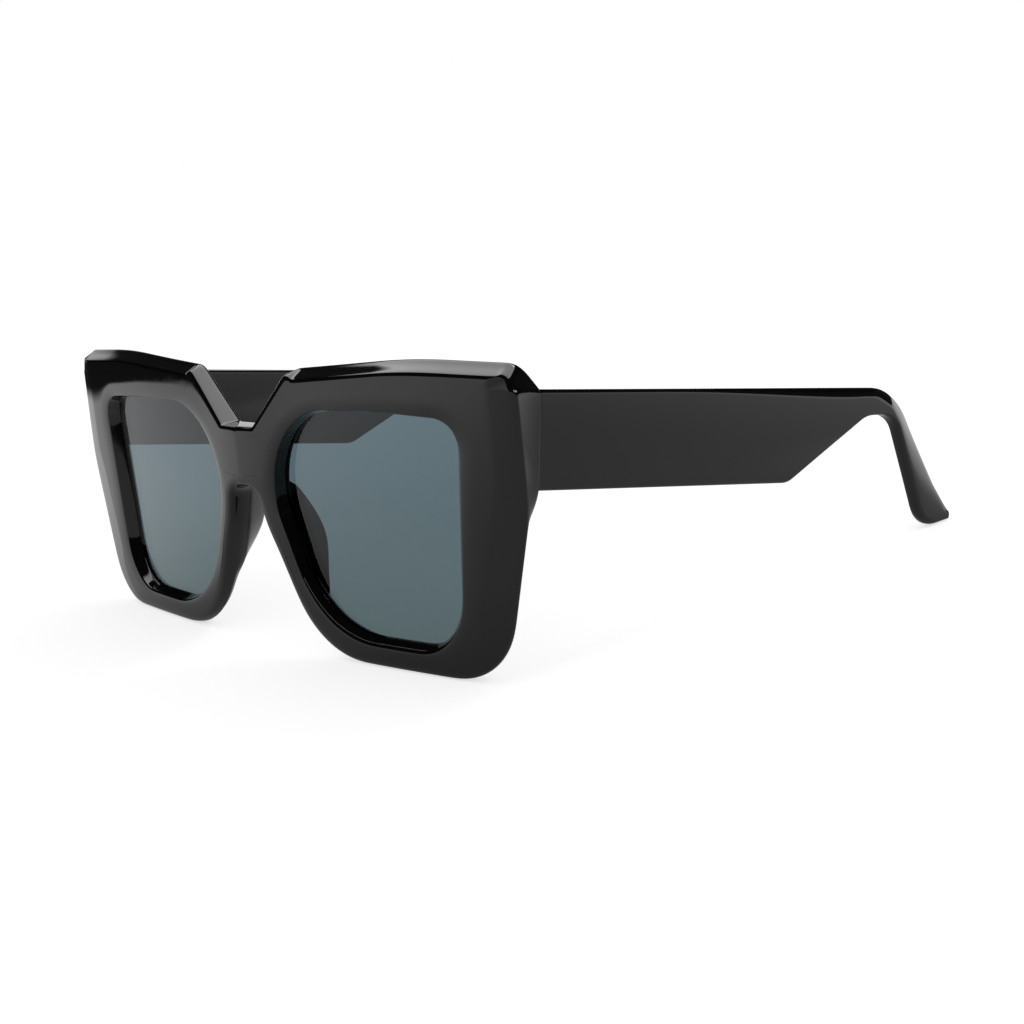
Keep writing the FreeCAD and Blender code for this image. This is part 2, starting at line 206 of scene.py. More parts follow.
def blackAcetate():
    look = {"deep": (0.003, 0.003, 0.0033, 1), "lifted": (0.0062, 0.006, 0.006, 1),
            "cloudScale": 45, "cloudDetail": 4, "hairScale": 900, "hairDetail": 2, "hairStretch": (1.0, 0.12, 0.5),
            "hairRange": (0.35, 0.75), "polish": (0.03, 0.075), "waviness": 0.008, "waveHeight": 0.001, "ior": 1.48}
    material, nodes, links, shader = newMaterial("blackAcetate")
    place = nodes.new("ShaderNodeTexCoord")
    clouds = nodes.new("ShaderNodeTexNoise")
    clouds.inputs["Scale"].default_value = look["cloudScale"]
    clouds.inputs["Detail"].default_value = look["cloudDetail"]
    links.new(place.outputs["Object"], clouds.inputs["Vector"])
    tint = nodes.new("ShaderNodeValToRGB")
    tint.color_ramp.elements[0].color = look["deep"]
    tint.color_ramp.elements[1].color = look["lifted"]
    links.new(clouds.outputs["Fac"], tint.inputs["Fac"])
    links.new(tint.outputs["Color"], shader.inputs["Base Color"])
    hairlines = nodes.new("ShaderNodeTexNoise")
    hairlines.inputs["Scale"].default_value = look["hairScale"]
    hairlines.inputs["Detail"].default_value = look["hairDetail"]
    stretch = nodes.new("ShaderNodeMapping")
    stretch.inputs["Scale"].default_value = look["hairStretch"]
    links.new(place.outputs["Object"], stretch.inputs["Vector"])
    links.new(stretch.outputs["Vector"], hairlines.inputs["Vector"])
    polish = nodes.new("ShaderNodeMapRange")
    polish.inputs["From Min"].default_value, polish.inputs["From Max"].default_value = look["hairRange"]
    polish.inputs["To Min"].default_value, polish.inputs["To Max"].default_value = look["polish"]
    links.new(hairlines.outputs["Fac"], polish.inputs["Value"])
    links.new(polish.outputs["Result"], shader.inputs["Roughness"])
    buffing = nodes.new("ShaderNodeBump")
    buffing.inputs["Strength"].default_value = look["waviness"]
    buffing.inputs["Distance"].default_value = look["waveHeight"]
    links.new(clouds.outputs["Fac"], buffing.inputs["Height"])
    links.new(buffing.outputs["Normal"], shader.inputs["Normal"])
    shader.inputs["IOR"].default_value = look["ior"]
    return material


def smokeLens():
    look = {"top": (0.086, 0.134, 0.158, 1), "foot": (0.090, 0.130, 0.138, 1),
            "heights": (0.004, 0.052), "ior": 1.40}
    material, nodes, links, shader = newMaterial("smokeLens")
    place = nodes.new("ShaderNodeTexCoord")
    height = nodes.new("ShaderNodeSeparateXYZ")
    links.new(place.outputs["Object"], height.inputs["Vector"])
    fade = nodes.new("ShaderNodeMapRange")
    fade.inputs["From Min"].default_value, fade.inputs["From Max"].default_value = look["heights"]
    links.new(height.outputs["Z"], fade.inputs["Value"])
    tint = nodes.new("ShaderNodeValToRGB")
    tint.color_ramp.elements[0].color = look["foot"]
    tint.color_ramp.elements[1].color = look["top"]
    links.new(fade.outputs["Result"], tint.inputs["Fac"])
    links.new(tint.outputs["Color"], shader.inputs["Base Color"])
    shader.inputs["Transmission Weight"].default_value = 1.0
    shader.inputs["Roughness"].default_value = 0.0
    shader.inputs["IOR"].default_value = look["ior"]
    return material


def hingeSteel(name, colour, roughness):
    look = {"brushScale": 3500, "brushDetail": 3, "stretch": (1.0, 1.0, 0.08),
            "smoother": 0.08, "rougher": 0.1, "dark": 0.85}
    material, nodes, links, shader = newMaterial(name)
    place = nodes.new("ShaderNodeTexCoord")
    stretch = nodes.new("ShaderNodeMapping")
    stretch.inputs["Scale"].default_value = look["stretch"]
    brushing = nodes.new("ShaderNodeTexNoise")
    brushing.inputs["Scale"].default_value = look["brushScale"]
    brushing.inputs["Detail"].default_value = look["brushDetail"]
    links.new(place.outputs["Object"], stretch.inputs["Vector"])
    links.new(stretch.outputs["Vector"], brushing.inputs["Vector"])
    grain = nodes.new("ShaderNodeMapRange")
    grain.inputs["To Min"].default_value = roughness - look["smoother"]
    grain.inputs["To Max"].default_value = roughness + look["rougher"]
    links.new(brushing.outputs["Fac"], grain.inputs["Value"])
    links.new(grain.outputs["Result"], shader.inputs["Roughness"])
    shade = nodes.new("ShaderNodeValToRGB")
    shade.color_ramp.elements[0].color = [c * look["dark"] for c in colour] + [1]
    shade.color_ramp.elements[1].color = list(colour) + [1]
    links.new(brushing.outputs["Fac"], shade.inputs["Fac"])
    links.new(shade.outputs["Color"], shader.inputs["Base Color"])
    shader.inputs["Metallic"].default_value = 1.0
    return material


acetate = blackAcetate()
lensTint = smokeLens()
leafSteel = hingeSteel("leafSteel", (0.11, 0.11, 0.115), 0.34)
screwSteel = hingeSteel("screwSteel", (0.30, 0.30, 0.30), 0.26)
coreSteel = hingeSteel("coreSteel", (0.66, 0.65, 0.63), 0.3)
print("materials made")


def dress(piece, material, slot, body, *nodes):
    piece.data.materials.clear()
    piece.data.materials.append(material)
    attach(piece, body)
    if nodes:
        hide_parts(*nodes)


lensOpening = {
    # front edge of the well: corners and their radius
    "corners": [(2.6, 25.3, 17.2), (42.0, 25.6, 90.0), (62.0, 24.4, 6.0), (58.2, -20.7, 12.0), (19.5, -20.8, 22.0)],
    "centre": (36.5, 3.5), "runStep": 0.5, "turnStep": 3,
    # at the top, outer side, bottom and nose: width of the soft edge, how far the wall leans in to the lens
    "soft": (3.0, 3.6, 2.0, 3.0),
    "lean": (0.5, 2.0, 0.5, -0.1),
    "lensDepth": 2.6,
}
frontShape = {
    "rimDepth": 4.6, "runStep": 2.6, "turnStep": 11,
    "corners": [(0.0, 21.4, 0), (5.3, 21.4, 1.3), (17.2, 33.2, 3.5), (50.0, 35.5, 120.0), (73.9, 34.5, 3.3),
                (75.4, 30.0, 1.4), (75.6, 8.3, 28.0), (67.3, -25.6, 15.0), (17.3, -25.6, 20.5), (6.4, -1.5, 40.0),
                (3.7, 8.3, 3.7), (0.0, 8.3, 0)],
    # each run of the outline from the flat face out to the side: how far inside the outline, how deep
    "runs": [
        [(1.5, 0.0), (0.85, 0.0), (0.36, 0.03), (0.09, 0.17), (0.0, 0.6)],     # notch floor
        [(1.4, 0.0), (0.85, 0.02), (0.36, 0.08), (0.08, 0.3), (0.0, 0.75)],    # notch wall
        [(2.6, 0.0), (2.25, 0.015), (1.95, 0.12), (1.65, 0.55), (0.7, 2.3)],   # top, inner
        [(2.8, 0.0), (2.4, 0.015), (2.1, 0.12), (1.75, 0.55), (0.75, 2.3)],    # top, outer
        [(6.1, 0.0), (5.3, 0.08), (1.2, 0.5), (0.8, 0.8), (0.25, 2.0)],        # shoulder
        [(6.4, 0.0), (5.6, 0.08), (0.45, 0.62), (0.12, 0.9), (0.0, 1.5)],      # end piece
        [(7.5, 0.0), (6.7, 0.1), (0.45, 0.66), (0.12, 0.95), (0.0, 1.5)],      # lower side
        [(2.2, 0.0), (1.6, 0.03), (0.8, 0.14), (0.25, 0.5), (0.0, 1.2)],       # bottom
        [(3.0, 0.0), (2.2, 0.06), (1.25, 0.28), (0.45, 0.9), (0.0, 2.1)],      # nose, lower
        [(2.6, 0.0), (1.8, 0.04), (0.9, 0.2), (0.3, 0.65), (0.0, 1.6)],        # nose, upper
        [(2.6, 0.0), (1.8, 0.02), (0.9, 0.16), (0.3, 0.6), (0.0, 1.5)],        # arch
    ],
    # for each run: rounding of the back edge, how far the side draws in towards the back
    "backRound": [1.0, 1.0, 1.1, 1.1, 0.9, 0.9, 2.3, 1.6, 0.25, 0.25, 0.6],
    "backLean": [0, 0, 0, 0, 0, 0, 1.0, 0, 0.4, 0.4, 0.3],
    "roundBelowPads": 3.2, "belowPads": (-15, -9), "padSide": 25,
    "sideMiddle": 0.55, "leanMiddle": 0.4, "backBand": (0.7, 1.2),
    # back edge: inset and lift as shares of the rounding, and both in millimetres at the end piece
    "backEdge": [(0.0, 1.0, 0.0, 0.15), (0.28, 0.28, 0.04, 0.04), (1.0, 0.0, 0.2, 0.0)],
    "bridgeRise": 1.55, "bridgeSpread": 11.0,   # the bridge stands forward of the lenses
    "middlePoints": 5, "offMiddle": 0.4, "archLift": 5.0, "archSide": 15, "archHeights": (-2, 8),
    "outerCorner": 3,   # the run whose corner is tighter than its facets are wide
    "outerHalf": 50, "mitreStep": 0.15, "mirrorWithin": 1e-5, "smoothing": 2,
    # the end piece's top comes down to the temple's, and its side is flush with it
    "endPiece": {"side": 75.4, "outerFace": 73.7, "buttY": 10.22, "thickness": 4.0, "edge": 0.2,
                 "heights": (4.0, 12.0), "shoulder": 1.8, "sinkFrom": 29.4, "sink": 0.75,
                 "sinkDepths": (3.2, 9.0), "flushDepth": 7.5},
}


def openingLine():
    path = roundedPath(lensOpening["corners"], True, lensOpening["runStep"], lensOpening["turnStep"])
    return [point[:2] for point in path]


def openingToward(line, target):   # the point of the opening's edge that faces a point of the outline
    centre = Vector(lensOpening["centre"])
    aim = (target - centre).normalized()
    place, normal = max(line, key=lambda p: (p[0] - centre).normalized().dot(aim))
    return place, -normal if normal.dot(place - centre) < 0 else normal


def openingEdge(place, outward, softShare, leanShare, extra=0.0):
    sides = (max(0, outward.y), max(0, outward.x), max(0, -outward.y), max(0, -outward.x))
    soft = sum(side * side * size for side, size in zip(sides, lensOpening["soft"]))
    lean = sum(side * side * size for side, size in zip(sides, lensOpening["lean"]))
    return place + outward * (soft * softShare - lean * leanShare + extra)


def onFace(u, v, depth):   # the front's skin, with the bridge's rise
    shape = frontShape
    rise = shape["bridgeRise"] * math.exp(-(u / shape["bridgeSpread"]) ** 2)
    return onFront(u, v, depth - rise * max(0.0, 1 - depth / lensOpening["lensDepth"]))


def frontColumns():
    shape, runs, endPiece = frontShape, frontShape["runs"], frontShape["endPiece"]
    line = openingLine()
    columns = []
    for place, normal, run, blend in roundedPath(shape["corners"], False, shape["runStep"], shape["turnStep"]):
        after = min(run + 1, len(runs) - 1)
        profile = [(mixed(a[0], b[0], blend), mixed(a[1], b[1], blend)) for a, b in zip(runs[run], runs[after])]
        lip = mixed(shape["backRound"][run], shape["backRound"][after], blend)
        lean = mixed(shape["backLean"][run], shape["backLean"][after], blend)
        if place.x < shape["padSide"]:   # rounder again below the nose pads
            lip = mixed(shape["roundBelowPads"], lip, eased(*shape["belowPads"], place.y))
        butt = 0.0   # how much this column belongs to the end piece
        if shape["outerCorner"] < run <= shape["outerCorner"] + 3 and place.x > shape["outerHalf"]:
            butt = eased(*endPiece["heights"], place.y)
        if run == shape["outerCorner"] and blend > 0:
            butt = blend ** endPiece["shoulder"]
        target = place.copy()
        if place.x < shape["archSide"]:   # the face above the arch spreads upwards
            target.y += shape["archLift"] * max(0.0, normal.y) * eased(*shape["archHeights"], place.y)
        opening, outward = openingToward(line, target)
        columns.append({"place": place, "normal": normal, "run": run, "blend": blend, "profile": profile,
                        "lip": lip, "lean": lean, "butt": butt, "opening": opening, "outward": outward})
    return columns, line


def backDepth(column, spot):
    deep = frontShape["rimDepth"]
    return mixed(deep, max(deep, depthAtWornY(spot.x, spot.y, frontShape["endPiece"]["buttY"])), column["butt"])


def buildFront():
    shape, endPiece = frontShape, frontShape["endPiece"]
    columns, line = frontColumns()
    deep, seat, off = shape["rimDepth"], lensOpening["lensDepth"], shape["offMiddle"]

    def atLens(softShare, leanShare, depth, extra):   # rings that follow the opening
        return [(openingEdge(c["opening"], c["outward"], softShare, leanShare, extra), depth) for c in columns]

    def atFace(step):   # rings over the face and its outer edge
        return [(c["place"] + c["normal"] * c["profile"][step][0], c["profile"][step][1]) for c in columns]

    def atBack(insetShare, liftShare, buttInset, buttLift):   # rings round the back edge
        ring = []
        for c in columns:
            spot = c["place"] + c["normal"] * (mixed(insetShare * c["lip"], buttInset, c["butt"]) + c["lean"])
            ring.append((spot, backDepth(c, spot) - mixed(liftShare * c["lip"], buttLift, c["butt"])))
        return ring

    def midSide():   # half way along the side
        ring = []
        for c in columns:
            spot = c["place"] + c["normal"] * (shape["leanMiddle"] * c["lean"])
            edge = backDepth(c, spot) - mixed(c["lip"], shape["backEdge"][0][3], c["butt"])
            ring.append((spot, mixed(c["profile"][4][1], edge, shape["sideMiddle"])))
        return ring

    def mitred(ring):   # facets wider than the corner's radius meet in a straight run there
        first = max(i for i, c in enumerate(columns) if c["run"] == shape["outerCorner"] and c["blend"] == 0)
        last = next(i for i, c in enumerate(columns) if c["run"] == shape["outerCorner"] + 2)
        for i in range(first + 1):
            most = ring[last][0].x - shape["mitreStep"] * (first - i)
            ring[i] = (Vector((min(ring[i][0].x, most), ring[i][0].y)), ring[i][1])
        for i in range(first + 1, last):
            ring[i] = (ring[first][0].lerp(ring[last][0], (i - first) / (last - first)), ring[i][1])
        return ring

    def offset(ring):   # the ends of a ring that turns up the middle of the bridge
        for i in (0, -1):
            ring[i] = (Vector((off, ring[i][0].y)), ring[i][1])
        return ring

    def atInner(depthOf, band, buttInset):   # rings inside the back edge
        ring = []
        for c in columns:
            spot = c["place"] + c["normal"] * mixed(band + c["lip"] + c["lean"], buttInset, c["butt"])
            ring.append((spot, depthOf(c, c["place"] + c["normal"] * mixed(band, buttInset, c["butt"]))))
        return ring

    # round the opening from the back lip: shares of the soft edge and of the lean, depth, and how far outside
    openingRings = [
        (0, 1, deep - 0.16, 0), (0, 1, seat + 1.47, 0), (0, 1, seat + 1.43, 0.06),
        (0, 1, seat + 1.41, 1.1), (0, 1, seat + 0.3, 1.1), (0, 1, seat + 0.26, 0.3),   # groove for the lens
        (0, 1, seat + 0.25, 0.06), (0, 1, seat + 0.2, 0), (0, 1, seat - 0.1, 0), (0, 0.62, 0.62 * seat, 0),   # wall
        (0, 0.14, 0.62, 0), (0, 0.02, 0.36, 0), (0.06, 0, 0.27, 0), (0.3, 0, 0.14, 0),   # soft edge
        (0.65, 0, 0.04, 0), (1, 0, 0, 0),
    ]
    closingRings = [(0, 1, deep, 1.2), (0, 1, deep, 0.3), (0, 1, deep - 0.03, 0.1)]
    flatEdge = offset(mitred(atFace(0)))
    halfway = [((a[0] + b[0]) / 2, 0.0) for a, b in zip(flatEdge, atLens(*openingRings[-1]))]
    rings = [atLens(*spot) for spot in openingRings]
    rings += [halfway, flatEdge, mitred(atFace(1)), atFace(2), atFace(3), atFace(4), midSide()]
    rings += [atBack(*edge) for edge in shape["backEdge"]]
    rings.append(atInner(backDepth, shape["backBand"][0], endPiece["thickness"] - endPiece["edge"]))
    behind = atInner(lambda column, spot: deep, shape["backBand"][1], endPiece["thickness"] + endPiece["edge"])
    rings.append(offset(behind))
    rings += [atLens(*spot) for spot in closingRings]
    faceRing = len(openingRings) + 1
    backRing = len(rings) - len(closingRings) - 1
    sideSteps = 7   # rings from the face's edge to the back
    sideRings = {faceRing + 4: 0.0, faceRing + 5: 0.0}
    sideRings.update({faceRing + 6 + k: edge[2] for k, edge in enumerate(shape["backEdge"])})
    nearLens = dict(enumerate(openingRings))
    nearLens.update({backRing + 1 + k: spot for k, spot in enumerate(closingRings)})
    # the bridge's middle plane closes each ring: which rings lie on it, and how far off it the others are
    onMiddle = range(faceRing + 1, backRing)
    steps = shape["middlePoints"]
    solid = []
    for r, ring in enumerate(rings):
        spots = []
        for c, (spot, depth) in zip(columns, ring):
            level = spot.y
            if r > faceRing + 1:   # the end piece's edges run back level with the temple's
                sink = endPiece["sink"] * c["butt"] * eased(*endPiece["sinkDepths"], depth)
                level -= sink * max(0.0, level - endPiece["sinkFrom"])
                level -= c["butt"] * depth * math.tan(math.radians(wornPose["frontTilt"]))
            place = onFace(spot.x, level, depth)
            if c["butt"] and r in sideRings:   # its side is flush with the temple at the back
                side = onFront(endPiece["side"] - sideRings[r], level, depth).x
                flush = (endPiece["outerFace"] - sideRings[r]) * mm - side
                place.x += flush * c["butt"] * min(1.0, depth / endPiece["flushDepth"])
            spots.append(place)
        top, bottom = ring[-1][0].y, ring[0][0].y
        for s in range(1, steps + 1):
            share = s / (steps + 1)
            height = mixed(top, bottom, share)
            facing = Vector((0, mixed(columns[-1]["place"].y + shape["archLift"], columns[0]["place"].y, share)))
            opening, outward = openingToward(line, facing)
            if r in onMiddle:
                depth = mixed(0.0, deep, min(1.0, (r - faceRing - 1) / sideSteps))
                spots.append(onFace(0.0, height, depth))
            elif r in (faceRing, backRing):
                spots.append(onFace(off, height, ring[0][1]))
            elif r in nearLens:
                softShare, leanShare, depth, extra = nearLens[r]
                edge = openingEdge(opening, outward, softShare, leanShare, extra)
                spots.append(onFace(edge.x, edge.y, depth))
            else:   # half way over the face
                edge = openingEdge(opening, outward, 1, 0)
                level = mixed(flatEdge[-1][0].y, flatEdge[0][0].y, share)
                spots.append(onFace((edge.x + off) / 2, (edge.y + level) / 2, 0.0))
        solid.append(spots)
    piece = startRing("frontFrame", solid[0])
    for spots in solid[1:] + solid[:1]:
        growRing(piece, spots)
    closeRings(piece)
    # open the middle plane, so that the two halves join there
    bpy.ops.object.mode_set(mode="EDIT")
    bpy.ops.mesh.select_all(action="DESELECT")
    bpy.ops.mesh.select_mode(type="FACE")
    form = bmesh.from_edit_mesh(piece.data)
    for face in form.faces:
        face.select = all(abs(vert.co.x) < joinWithin for vert in face.verts)
    bmesh.update_edit_mesh(piece.data)
    bpy.ops.mesh.delete(type="FACE")
    bpy.ops.object.mode_set(mode="OBJECT")
    twin = piece.modifiers.new("otherHalf", "MIRROR")
    twin.use_clip = True
    twin.merge_threshold = shape["mirrorWithin"]
    bpy.ops.object.modifier_apply(modifier=twin.name)
    bpy.ops.object.mode_set(mode="EDIT")
    bpy.ops.mesh.select_all(action="SELECT")
    bpy.ops.mesh.normals_make_consistent(inside=False)
    bpy.ops.object.mode_set(mode="OBJECT")
    finishPiece(piece, shape["smoothing"])
    return piece


frontFrame = buildFront()
dress(frontFrame, acetate, "black_gloss", "front", "front_frame")
print("front", len(frontFrame.data.polygons), "faces")


lensShape = {"thickness": 1.4, "overlap": 1.0, "points": 120, "shares": (0.15, 0.35, 0.55, 0.75, 0.9), "sharp": 30}


def buildLens():
    shape = lensShape
    line = openingLine()
    centre = Vector(lensOpening["centre"])
    edge = []
    for k in range(shape["points"]):
        place, normal = line[round(k * len(line) / shape["points"]) % len(line)]
        outward = -normal if normal.dot(place - centre) < 0 else normal
        edge.append(openingEdge(place, outward, 0, 1, shape["overlap"]))
    front = lensOpening["lensDepth"]
    back = front + shape["thickness"]

    def ring(share, depth):
        return [onFront(*(centre + (p - centre) * share), depth) for p in edge]

    piece = startRing("leftLens", [onFront(*centre, front)] * shape["points"])
    for share in shape["shares"] + (1.0,):
        growRing(piece, ring(share, front))
    for share in (1.0,) + shape["shares"][::-1]:
        growRing(piece, ring(share, back))
    growRing(piece, [onFront(*centre, back)] * shape["points"])
    closeRings(piece)
    finishPiece(piece, 0, shape["sharp"])
    return piece


leftLens = buildLens()
rightLens = mirrorCopy(leftLens, "rightLens")
dress(leftLens, lensTint, "smoke_lens", "front", "left_lens")
dress(rightLens, lensTint, "smoke_lens", "front", "right_lens")
print("lenses", len(leftLens.data.polygons), "faces each")


templeShape = {
    "outerFace": 73.7, "thickness": 4.0, "tipThickness": 2.9,
    # upper and lower edge as worn Y and Z with each corner's radius, both from the hinge to the tip
    "upper": [(10.3, 31.0, 0), (123.3, 31.0, 18.0), (140.0, 8.9, 20.0), (145.9, 2.7, 0)],
    "lower": [(10.3, 12.72, 0), (84.0, 11.3, 7.0), (111.2, 25.0, 12.0), (121.4, 25.1, 7.0), (134.8, -1.2, 8.0),
              (145.2, 0.5, 0)],
    # worn Y of the places on the two edges that face each other, and the sections up to there
    "facing": [(10.3, 10.3, 0), (78.0, 78.0, 10), (90.0, 90.0, 16), (110.9, 105.0, 8), (120.9, 120.3, 18),
               (129.2, 123.2, 10), (138.0, 129.0, 10), (141.0, 131.6, 6), (142.6, 134.4, 5), (144.2, 139.2, 5),
               (145.9, 145.2, 6)],
    # roundings: across the face, into the thickness; at the hook the first is a share of half the width
    "edgeFront": (0.7, 0.55), "topBend": (2.6, 2.0), "topHook": (1.55, 1.95), "lowHook": (0.4, 1.2),
    "innerFront": (0.7, 0.5), "innerHook": (0.85, 1.0), "endTop": (1.3, 1.2), "slopePower": 1.25,
    # worn Y over which the edge bends, the hook starts, its slope fades, and the thickness runs down
    "bendReach": (45, 115), "hookReach": (114, 127), "endReach": (128, 147), "taperReach": (24, 146),
    "buttRound": 0.12, "tipRound": 0.35, "arcSteps": 7, "runStep": 1.0, "turnStep": 3, "sharp": 40,
    "spare": (0.02, 0.1), "spareMost": 0.4,   # the flat of each face is kept from the roundings by this share
}


def pointAtY(points, y):
    for a, b in zip(points, points[1:]):
        if y <= b.x:
            return a.lerp(b, (y - a.x) / (b.x - a.x))
    return points[-1].copy()


def templeSection(upper, lower, reach, squeeze=0.0):
    shape = templeShape
    middle, half = (upper + lower) / 2, (upper - lower) / 2
    width = half.length - squeeze
    across = half.normalized()
    bend, hook, end = [eased(*shape[key], reach) for key in ("bendReach", "hookReach", "endReach")]
    thin = max(0, reach - shape["taperReach"][0]) / (shape["taperReach"][1] - shape["taperReach"][0])
    outer = shape["outerFace"] - squeeze
    inner = shape["outerFace"] + squeeze - mixed(shape["thickness"], shape["tipThickness"], thin)

    def rounding(front, atHook):   # from the flat part to the hook
        most = atHook[0] * width
        return min(mixed(front[0], most, hook), most), mixed(front[1], atHook[1], hook)

    along = [mixed(a, b, bend) for a, b in zip(shape["edgeFront"], shape["topBend"])]
    top, low = rounding(along, shape["topHook"]), rounding(shape["edgeFront"], shape["lowHook"])
    top = mixed(top[0], shape["endTop"][0] * width, end), mixed(top[1], shape["endTop"][1], end)
    inside = rounding(shape["innerFront"], shape["innerHook"])
    turns = [math.pi / 2 * k / shape["arcSteps"] for k in range(shape["arcSteps"] + 1)]

    def edge(outside, slope):   # one edge of the section, from the outer face round to the inner face
        points = []
        for t in turns:
            share = mixed(1 - math.cos(t), math.sin(t) ** shape["slopePower"], slope)
            points.append((width - outside[0] * (1 - math.sin(t)), outer - outside[1] * share))
        points += [(width - inside[0] * (1 - math.cos(t)), inner + inside[1] * (1 - math.sin(t))) for t in turns]
        spare = [min(shape["spareMost"], share * width) for share in shape["spare"]]
        return [(points[0][0] - spare[0], outer)] + points + [(points[-1][0] - spare[1], inner)]

    loop = edge(top, hook * (1 - end)) + [(-a, x) for a, x in reversed(edge(low, 0.0))]
    return [stand(x, *(middle + across * a)) for a, x in loop]


def buildTemple():
    shape = templeShape
    steps = shape["runStep"], shape["turnStep"]
    upperLine, lowerLine = [[p[0] for p in roundedPath(shape[edge], False, *steps)] for edge in ("upper", "lower")]
    stations = [shape["facing"][0][:2]]
    for last, spot in zip(shape["facing"], shape["facing"][1:]):
        shares = [k / spot[2] for k in range(1, spot[2] + 1)]
        stations += [(mixed(last[0], spot[0], share), mixed(last[1], spot[1], share)) for share in shares]
    pairs = [(pointAtY(upperLine, up), pointAtY(lowerLine, low), up) for up, low in stations]
    first, last = pairs[0], pairs[-1]
    sections = [templeSection(*first, squeeze=shape["buttRound"])]
    nudged = [p + Vector((shape["buttRound"], 0)) for p in first[:2]]
    sections.append(templeSection(*nudged, first[2]))
    sections += [templeSection(*pair) for pair in pairs[1:]]
    tipOut = (last[0] + last[1]) / 2 + (last[0] - pairs[-4][0]).normalized() * shape["tipRound"]
    buttCentre = sum(sections[0], Vector()) / len(sections[0])
    piece = startRing("leftTemple", [buttCentre] * len(sections[0]))
    for section in sections:
        growRing(piece, section)
    growRing(piece, [stand(shape["outerFace"] - shape["tipThickness"] / 2, *tipOut)] * len(sections[0]))
    closeRings(piece)
    finishPiece(piece, 0, shape["sharp"])
    return piece


leftTemple = buildTemple()
rightTemple = mirrorCopy(leftTemple, "rightTemple")
dress(leftTemple, acetate, "black_gloss", "left_arm", "left_temple")
dress(rightTemple, acetate, "black_gloss", "right_arm", "right_temple")
print("temples", len(leftTemple.data.polygons), "faces each")


padShape = {
    "rimDepth": 4.6, "top": 11.5, "foot": -18.0, "sections": 30, "smoothing": 2,
    # the ridge: how far behind the rim, where it is highest, its spread up and down, its place and slant across
    "height": 6.4, "highest": -1.2, "spread": (13.0, 10.0), "ridgeMiddle": 10.95, "ridgeLean": 0.5,
    "noseKnee": (6.4, -1.5), "noseLean": (0.28, 0.452), "lensEdge": 12.6, "lensLean": 0.3675, "lensMost": 1.6,
    "fades": (4, 6), "tuck": 0.3, "endDraw": 0.9,   # how its two ends run into the rim
    "lowDraw": 3.0, "lowHeights": (-8, -15),        # the rim's back edge is round below the pad
}


def padSection(v):
    shape = padShape
    deep = shape["rimDepth"]
    rise = shape["height"] * math.exp(-((v - shape["highest"]) / shape["spread"][v < shape["highest"]]) ** 2)
    fade = eased(shape["top"], shape["top"] - shape["fades"][0], v)
    fade *= eased(shape["foot"], shape["foot"] + shape["fades"][1], v)
    ridge = shape["ridgeMiddle"] - shape["ridgeLean"] * v
    ridgeDepth = deep + rise * fade - shape["tuck"] * (1 - fade)
    kneeU, kneeV = shape["noseKnee"]
    nose = kneeU + (kneeV - v) * shape["noseLean"][0 if v > kneeV else 1]
    nose += shape["lowDraw"] * eased(*shape["lowHeights"], v) + shape["endDraw"] * (1 - fade)
    lens = min(shape["lensEdge"] - shape["lensLean"] * v, ridge + shape["lensMost"])
    swell = rise / shape["height"]
    points = [   # across the rim and behind its face, from the nose side over the ridge to the lens
        (nose + 1.0, 2.4), (nose + 0.21, 3.6), (nose + 0.34, 4.3),
        (mixed(nose + 0.34, ridge, 0.1), mixed(4.5, 5.2, swell)),
        (mixed(nose, ridge, 0.45), mixed(4.4, ridgeDepth, 0.5)),
        (mixed(nose, ridge, 0.72), mixed(4.5, ridgeDepth, 0.83)),
        (ridge - 0.75, mixed(4.5, ridgeDepth, 0.97)), (ridge - 0.1, ridgeDepth),
        (mixed(ridge, lens, 0.45), mixed(4.5, ridgeDepth, 0.82)),
        (mixed(ridge, lens, 0.85), mixed(4.4, ridgeDepth, 0.4)),
        (lens, 4.2), (lens - 0.6, 3.6), (nose + 1.6, 3.2),
    ]
    return [onFront(u, v, depth) for u, depth in points]


def buildPad():
    shape = padShape
    heights = [mixed(shape["top"], shape["foot"], k / shape["sections"]) for k in range(shape["sections"] + 1)]
    sections = [padSection(v) for v in heights]
    count = len(sections[0])
    piece = startRing("leftNosePad", [sum(sections[0], Vector()) / count] * count)
    for section in sections:
        growRing(piece, section)
    growRing(piece, [sum(sections[-1], Vector()) / count] * count)
    closeRings(piece)
    finishPiece(piece, shape["smoothing"])
    return piece


leftPad = buildPad()
rightPad = mirrorCopy(leftPad, "rightNosePad")
dress(leftPad, acetate, "black_gloss", "front", "left_nose_pad")
dress(rightPad, acetate, "black_gloss", "front", "right_nose_pad")
print("nose pads", len(leftPad.data.polygons), "faces each")


# the block of the frame behind each front hinge leaf
seatShape = {"inner": 62.3, "outer": 70.2, "front": 5.2, "back": 7.55, "low": 16.5, "high": 27.4, "round": 0.5,
             "roundSteps": 3, "sharp": 35}


def buildSeat():
    shape = seatShape
    deselect()
    bpy.ops.mesh.primitive_cube_add(size=1.0)
    piece = bpy.context.object
    piece.name = piece.data.name = "leftHingeSeat"
    for vert in piece.data.vertices:
        x = shape["inner"] if vert.co.x < 0 else shape["outer"]
        y = shape["front"] if vert.co.y < 0 else shape["back"]
        z = shape["low"] if vert.co.z < 0 else shape["high"]
        vert.co = stand(x, y, z)
    bevel = piece.modifiers.new("roundEdges", "BEVEL")
    bevel.width = shape["round"] * mm
    bevel.segments = shape["roundSteps"]
    bpy.ops.object.modifier_apply(modifier=bevel.name)
    finishPiece(piece, 0, shape["sharp"])
    return piece


leftSeat = buildSeat()
rightSeat = mirrorCopy(leftSeat, "rightHingeSeat")
dress(leftSeat, acetate, "black_gloss", "front")
dress(rightSeat, acetate, "black_gloss", "front")

